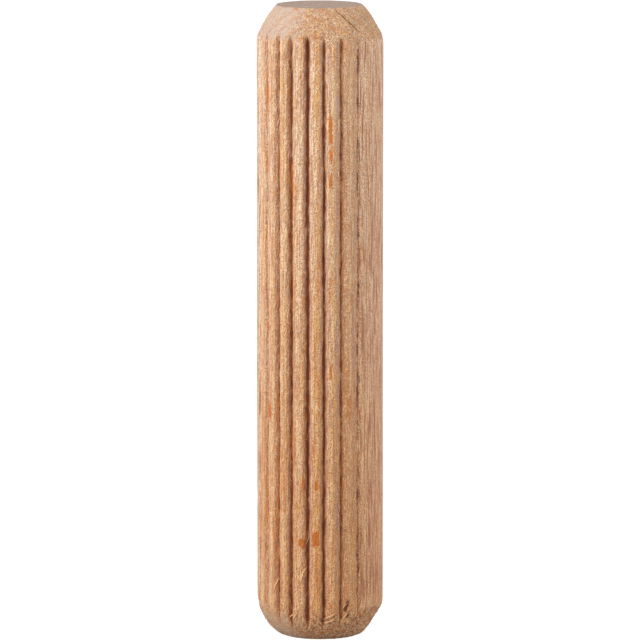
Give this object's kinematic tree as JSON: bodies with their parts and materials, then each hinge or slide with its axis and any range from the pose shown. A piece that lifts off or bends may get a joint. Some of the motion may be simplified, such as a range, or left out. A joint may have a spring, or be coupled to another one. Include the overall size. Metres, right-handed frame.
{
  "type": "fluted wooden dowel pin",
  "caption": "Straight round wooden pin with pressed lengthwise flutes and tapered ends, glued into matching holes to join two boards.",
  "frame": {"origin": "middle of the lower end face", "axes": "+Z along the pin's axis and the grain, from the lower end face to the upper one; the two fluted sectors face -Y and +Y, and the smooth strips face -X and +X"},
  "size_m": [0.008, 0.008, 0.04],
  "materials": {
    "beech": "bare pressed wood, unsanded and unvarnished"
  },
  "bodies": {
    "root": {"dowel_pin": "beech"}
  },
  "joints": []
}
